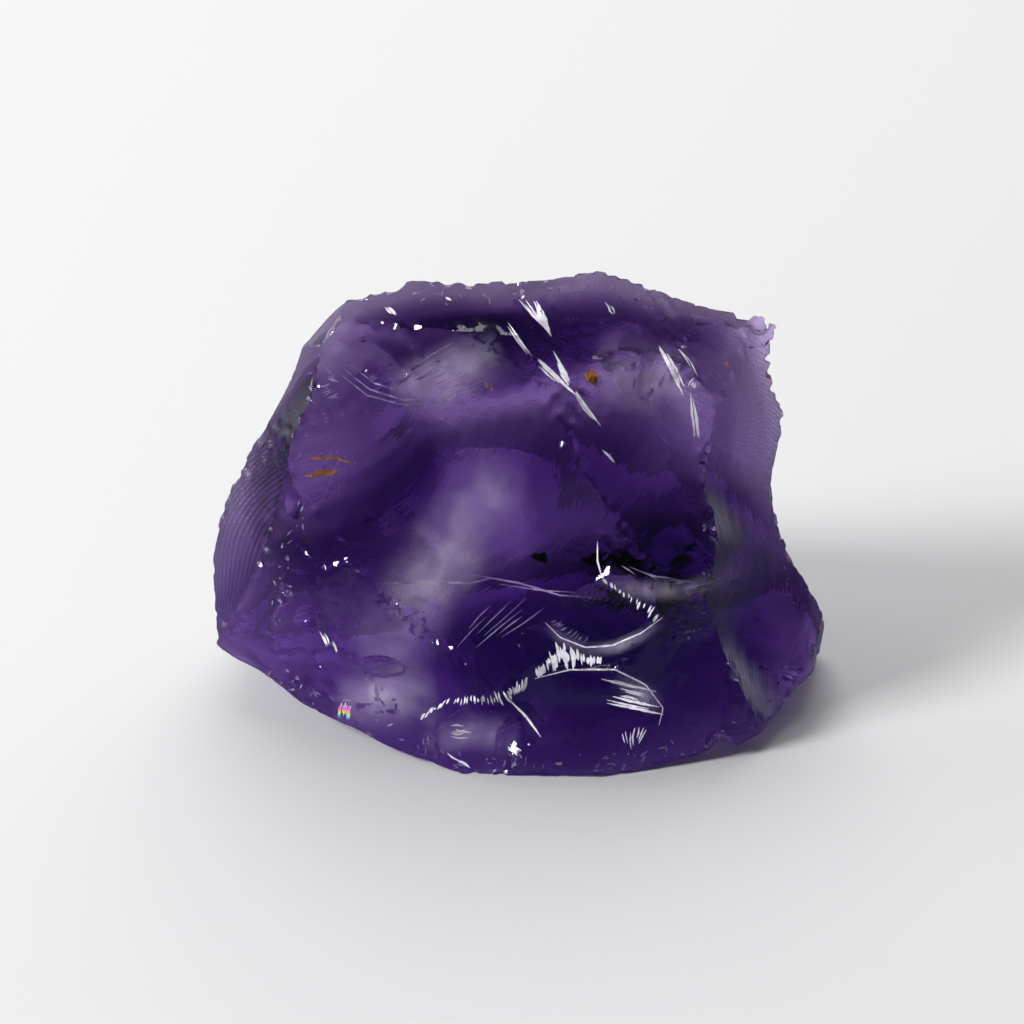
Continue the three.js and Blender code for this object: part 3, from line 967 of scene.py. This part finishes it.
# Painted pale light where light shines through the stone, as soft sheets: lines of photograph pixels, and
# the width in pixels
LIGHT_SHEET_LINES = (
    ([(395, 405), (430, 385), (470, 365), (505, 350)], 75),
    ([(508, 455), (480, 505), (440, 565), (400, 625), (370, 680)], 105),
    ([(590, 370), (630, 375), (680, 395)], 90),
    ([(330, 700), (390, 700), (440, 690)], 80),
    ([(420, 740), (470, 730), (520, 740)], 50),
    ([(545, 624), (562, 640), (588, 650), (615, 647), (642, 635), (664, 618)], 18),
    ([(598, 572), (630, 588), (680, 592), (736, 572)], 26),
    ([(612, 676), (640, 690), (660, 712)], 30),
    ([(655, 345), (675, 380), (688, 420)], 34),
)
# Rust stains: lines of photograph pixels, and the width in pixels
STAINS = (
    ([(308, 459), (322, 459), (334, 457), (352, 464)], 3),
    ([(306, 476), (320, 474), (340, 471)], 5.5),
    ([(584, 376), (592, 379), (600, 377)], 10),
    ([(590, 370), (592, 379), (594, 387)], 8),
    ([(486, 383), (488, 389)], 2.6),
    ([(491, 386), (493, 392)], 2.6),
    ([(766, 372), (770, 379)], 4),
    ([(725, 362), (726, 368)], 3),
)
# The crack with painted rainbow colours: one brush, as for the painted glints
RAINBOW_CRACK = (((338, 705), (352, 702)), ((336, 718), (349, 720)), 7, 2.6)


# The stage: a camera where the photograph was taken from, a pale floor, and soft light
FLOOR_SIDE = 3.0  # metres from its middle to each edge
FLOOR_COLOUR, FLOOR_ROUGH = (0.55, 0.55, 0.557, 1), 0.9
CLIP_NEAR, CLIP_FAR = 0.01, 20  # metres
STONE_HEART = (0, 0, 10)
LAMPS = {  # place, aim, width and height, and power in watts
    "softbox_over": ((0, 190, 310), (0, 20, 0), (260, 260), 0.62),
    "softbox_left": ((-400, 120, 170), STONE_HEART, (200, 320), 0.55),
    "softbox_front": ((-420, -200, 330), STONE_HEART, (160, 160), 3.8),
    "softbox_back": ((60, 420, 120), STONE_HEART, (500, 240), 0.85),
}
BACK_TURN, BACK_GLOW = (0.05, 0.65), (0.04, 1)  # the room is dark in front and bright behind
HORIZON, UNDER_GLOW = (-0.25, 0.05), 0.16
ROOM_GLOW = 1.0
BOUNCES, GLOSSY_BOUNCES, DIFFUSE_BOUNCES = 10, 6, 1


def add_camera():
    data = bpy.data.cameras.new("camera")
    data.sensor_width = SENSOR
    data.lens = PIXELS_PER_MM * VIEW_DISTANCE / PHOTO_PIXELS * data.sensor_width
    camera = bpy.data.objects.new("camera", data)
    camera.location = Vector((AIM + VIEW_BACK * VIEW_DISTANCE) * MM)
    camera.rotation_euler = Vector(-VIEW_BACK).to_track_quat("-Z", "Y").to_euler()
    data.clip_start, data.clip_end = CLIP_NEAR, CLIP_FAR
    bpy.context.scene.collection.objects.link(camera)
    bpy.context.scene.camera = camera


def add_floor():
    mesh = bpy.data.meshes.new("floor")
    corners = [(-1, -1, 0), (1, -1, 0), (1, 1, 0), (-1, 1, 0)]
    mesh.from_pydata([Vector(corner) * FLOOR_SIDE for corner in corners], [], [(0, 1, 2, 3)])
    floor = bpy.data.objects.new("floor", mesh)
    material, _, shader = new_material("pale_floor")
    shader.inputs["Base Color"].default_value = FLOOR_COLOUR
    shader.inputs["Roughness"].default_value = FLOOR_ROUGH
    mesh.materials.append(material)
    bpy.context.scene.collection.objects.link(floor)
    floor.visible_glossy = False


def add_light(name, place_mm, aim_mm, size_mm, power):
    data = bpy.data.lights.new(name, "AREA")
    data.shape = "RECTANGLE"
    data.size, data.size_y = (value * MM for value in size_mm)
    data.energy = power
    lamp = bpy.data.objects.new(name, data)
    lamp.location = Vector(place_mm) * MM
    lamp.rotation_euler = (Vector(aim_mm) - Vector(place_mm)).to_track_quat("-Z", "Y").to_euler()
    bpy.context.scene.collection.objects.link(lamp)


def add_room():
    world = bpy.data.worlds.new("studio")
    bpy.context.scene.world = world
    world.use_nodes = True
    tree = world.node_tree
    way = tree.nodes.new("ShaderNodeTexCoord")
    parts = tree.nodes.new("ShaderNodeSeparateXYZ")
    tree.links.new(way.outputs["Generated"], parts.inputs["Vector"])
    behind = add_range(tree, parts.outputs["Y"], BACK_TURN, BACK_GLOW)
    above = add_range(tree, parts.outputs["Z"], HORIZON, (0, 1))
    both = tree.nodes.new("ShaderNodeMix")
    both.inputs["A"].default_value = UNDER_GLOW
    tree.links.new(above, both.inputs["Factor"])
    tree.links.new(behind, both.inputs["B"])
    tree.links.new(both.outputs["Result"], tree.nodes["Background"].inputs["Color"])
    tree.nodes["Background"].inputs["Strength"].default_value = ROOM_GLOW


stone = Stone(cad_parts[STONE])
chunk = stone_mesh(stone)
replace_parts(add_piece("amethyst_chunk", chunk, crystal_material()), STONE)
for i, (side, (*facts, density)) in enumerate(ZONES.items()):
    name = "growth_zone_" + side
    zone = Zone(stone, *facts, SEEDS["zones"] + i)
    add_piece(name, shape_mesh(name, zone, ZONE_CELL), zone_material(name, density))
mottle = mottle_group()
skin = skin_tree(chunk)

# White glints painted on ridges and torn rims, partly real bruising
glints_and_bruising = Flakes(skin, SEEDS["glints_and_bruising"])
for brush in GLINT_AND_BRUISING_BRUSHES:
    glints_and_bruising.brush(*brush)
for line in GLINT_AND_BRUISING_LINES:
    glints_and_bruising.sliver(*line)
white = flake_material("glint_and_bruising", mottle, GLINT_AND_BRUISING_COLOURS, BLOTCHES["glint_and_bruising"], FLAKE_ROUGH)
add_piece("painted_glints_and_bruising", glints_and_bruising.mesh("painted_glints_and_bruising"), white)

# Pale lilac highlights painted on fracture steps, and pale chips along worn edges
highlights_and_chips = Flakes(skin, SEEDS["highlights_and_chips"])
for brush in HIGHLIGHT_BRUSHES:
    highlights_and_chips.brush(*brush)
for line in HIGHLIGHT_LINES:
    highlights_and_chips.sliver(*line)
for edge in WORN_EDGES:
    highlights_and_chips.specks(*edge)
lilac = flake_material("highlight_and_chip", mottle, HIGHLIGHT_AND_CHIP_COLOURS, BLOTCHES["highlight_and_chip"], FLAKE_ROUGH)
add_piece("painted_highlights_and_pale_chips", highlights_and_chips.mesh("painted_highlights_and_pale_chips"), lilac)

# Pale light painted where light shines through the stone, as soft sheets
through_light_sheets = Flakes(skin, SEEDS["through_light_sheets"])
for line in LIGHT_SHEET_LINES:
    through_light_sheets.through_light_sheet(*line)
add_piece("painted_through_light_sheets", through_light_sheets.mesh("painted_through_light_sheets"), through_light_material(mottle))

# Rainbow interference colours painted on a crack
crack = Flakes(skin, SEEDS["crack"])
crack.brush(*RAINBOW_CRACK)
add_piece("rainbow_crack", crack.mesh("rainbow_crack"), rainbow_material())

stains = Flakes(skin, SEEDS["stains"])
for line in STAINS:
    stains.sliver(*line)
rust = flake_material("iron_stain", mottle, STAIN_COLOURS, BLOTCHES["stain"], STAIN_ROUGH)
add_piece("iron_stains", stains.mesh("iron_stains"), rust)

add_floor()
add_camera()
add_room()
for name, facts in LAMPS.items():
    add_light(name, *facts)

scene = bpy.context.scene
scene.view_settings.view_transform = "Standard"
scene.cycles.max_bounces = BOUNCES
scene.cycles.transmission_bounces = BOUNCES
scene.cycles.glossy_bounces = GLOSSY_BOUNCES
scene.cycles.diffuse_bounces = DIFFUSE_BOUNCES
